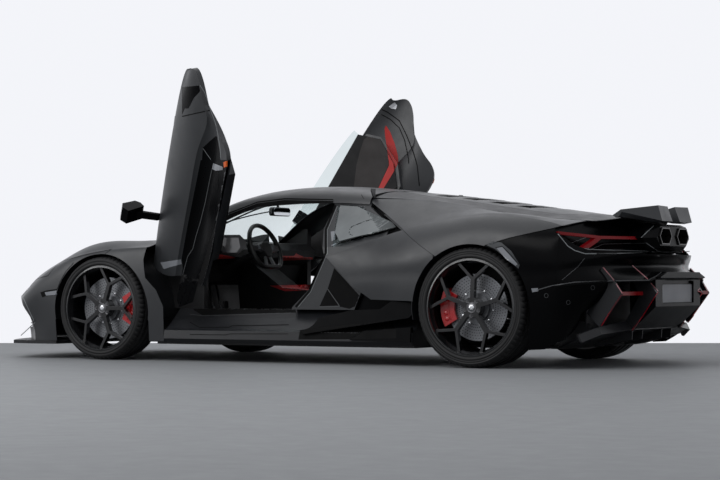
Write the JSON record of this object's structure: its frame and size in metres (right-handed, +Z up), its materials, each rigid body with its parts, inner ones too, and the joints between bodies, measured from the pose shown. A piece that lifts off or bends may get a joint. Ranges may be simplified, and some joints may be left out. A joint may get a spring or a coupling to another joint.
{
  "type": "supercar",
  "caption": "Low two-seat mid-engined supercar with raised scissor doors, wedge nose, louvred deck, hexagonal exhausts and open spoked wheels",
  "frame": {"origin": "on the ground under the middle of the car's length and width", "axes": "+X points to the front of the car, +Y to its left side, +Z up"},
  "size_m": [4.9343, 2.8356, 1.8798],
  "materials": {
    "body_paint": "satin dark grey paint",
    "gloss_black": "gloss black",
    "satin_black": "satin black plastic and carbon",
    "glass": "lightly tinted glass",
    "lamp": "dark clear lamp lens",
    "structure": "coated structure",
    "tyre": "black rubber",
    "satin_grey": "satin mid grey paint",
    "red_lens": "red lamp lens",
    "rim": "gloss black alloy",
    "disc": "grey ceramic disc",
    "caliper": "red paint",
    "hub_metal": "cast metal",
    "exhaust": "dark metal",
    "engine": "dark cast metal",
    "leather": "black leather with red parts",
    "interior": "dark soft-touch trim"
  },
  "bodies": {
    "chassis": {"cowl": "satin_black", "fenders": "body_paint", "headlamps": "lamp", "front_bumper": "body_paint", "front_splitter": "satin_black", "body_joiners": "satin_black", "glazing": "glass", "roof_panel": "body_paint", "rear_deck": "satin_black", "rear_fenders": "body_paint", "quarter_panels": "body_paint", "rear_bumper": "gloss_black", "tail_panel": "gloss_black", "exhaust": "exhaust", "diffuser": "satin_black", "rear_wing": "gloss_black", "sills": "body_paint", "side_blades": "gloss_black", "tail_blades": "satin_grey", "tail_lamps": "red_lens", "side_frames": "body_paint", "tub": "structure", "undertray": "satin_black", "subframes": "structure", "luggage_box": "interior", "engine_block": "engine", "wheelhouses_front": "satin_black", "wheelhouses_rear": "satin_black", "dashboard": "interior", "seats": "leather", "suspension_arms": "hub_metal", "rear_uprights": "hub_metal", "rear_calipers": "caliper"},
    "front_lid": {"front_lid": "body_paint"},
    "engine_cover": {"engine_cover": "body_paint"},
    "steering_wheel": {"steering_wheel": "leather"},
    "door_left": {"door_left": "body_paint", "door_trim_left": "interior", "door_glass_left": "glass", "mirror_left": "gloss_black"},
    "hub_front_left": {"knuckle_left": "hub_metal", "caliper_left": "caliper"},
    "wheel_front_left": {"tyre_front_left": "tyre", "rim_front_left": "rim", "brake_disc_front_left": "disc"},
    "wheel_rear_left": {"tyre_rear_left": "tyre", "rim_rear_left": "rim", "brake_disc_rear_left": "disc"},
    "door_right": {"door_right": "body_paint", "door_trim_right": "interior", "door_glass_right": "glass", "mirror_right": "gloss_black"},
    "hub_front_right": {"knuckle_right": "hub_metal", "caliper_right": "caliper"},
    "wheel_front_right": {"tyre_front_right": "tyre", "rim_front_right": "rim", "brake_disc_front_right": "disc"},
    "wheel_rear_right": {"tyre_rear_right": "tyre", "rim_rear_right": "rim", "brake_disc_rear_right": "disc"}
  },
  "joints": [
    {"name": "door_swing_left", "type": "hinge", "parent": "chassis", "child": "door_left", "pos_m": [0.7455, 0.851, 0.609], "axis": [-0.0251, 0.9301, -0.3665], "range_deg": [-65, 0]},
    {"name": "steer_left", "type": "hinge", "parent": "chassis", "child": "hub_front_left", "pos_m": [1.3005, 0.8075, 0.346], "axis": [0, 0, 1], "range_deg": [-32, 32]},
    {"name": "spin_front_left", "type": "hinge", "parent": "hub_front_left", "child": "wheel_front_left", "pos_m": [1.3005, 0.86, 0.346], "axis": [0, 1, 0], "continuous": true},
    {"name": "spin_rear_left", "type": "hinge", "parent": "chassis", "child": "wheel_rear_left", "pos_m": [-1.4785, 0.845, 0.368], "axis": [0, 1, 0], "continuous": true},
    {"name": "door_swing_right", "type": "hinge", "parent": "chassis", "child": "door_right", "pos_m": [0.7455, -0.851, 0.609], "axis": [0.0251, 0.9301, 0.3665], "range_deg": [-65, 0]},
    {"name": "steer_right", "type": "hinge", "parent": "chassis", "child": "hub_front_right", "pos_m": [1.3005, -0.8075, 0.346], "axis": [0, 0, 1], "range_deg": [-32, 32]},
    {"name": "spin_front_right", "type": "hinge", "parent": "hub_front_right", "child": "wheel_front_right", "pos_m": [1.3005, -0.86, 0.346], "axis": [0, 1, 0], "continuous": true},
    {"name": "spin_rear_right", "type": "hinge", "parent": "chassis", "child": "wheel_rear_right", "pos_m": [-1.4785, -0.845, 0.368], "axis": [0, 1, 0], "continuous": true},
    {"name": "front_lid_hinge", "type": "hinge", "parent": "chassis", "child": "front_lid", "pos_m": [1.0445, 0, 0.785], "axis": [0, -1, 0], "range_deg": [0, 65]},
    {"name": "engine_cover_hinge", "type": "hinge", "parent": "chassis", "child": "engine_cover", "pos_m": [-0.6365, 0, 1.098], "axis": [0, 1, 0], "range_deg": [0, 60]},
    {"name": "steering_wheel_turn", "type": "hinge", "parent": "chassis", "child": "steering_wheel", "pos_m": [0.3825, 0.37, 0.743], "axis": [-0.9272, 0, 0.3746], "range_deg": [-448, 448]}
  ],
  "couplings": [
    {"joint": "steer_right", "follows": "steer_left", "ratio": 1},
    {"joint": "steering_wheel_turn", "follows": "steer_left", "ratio": 14}
  ]
}
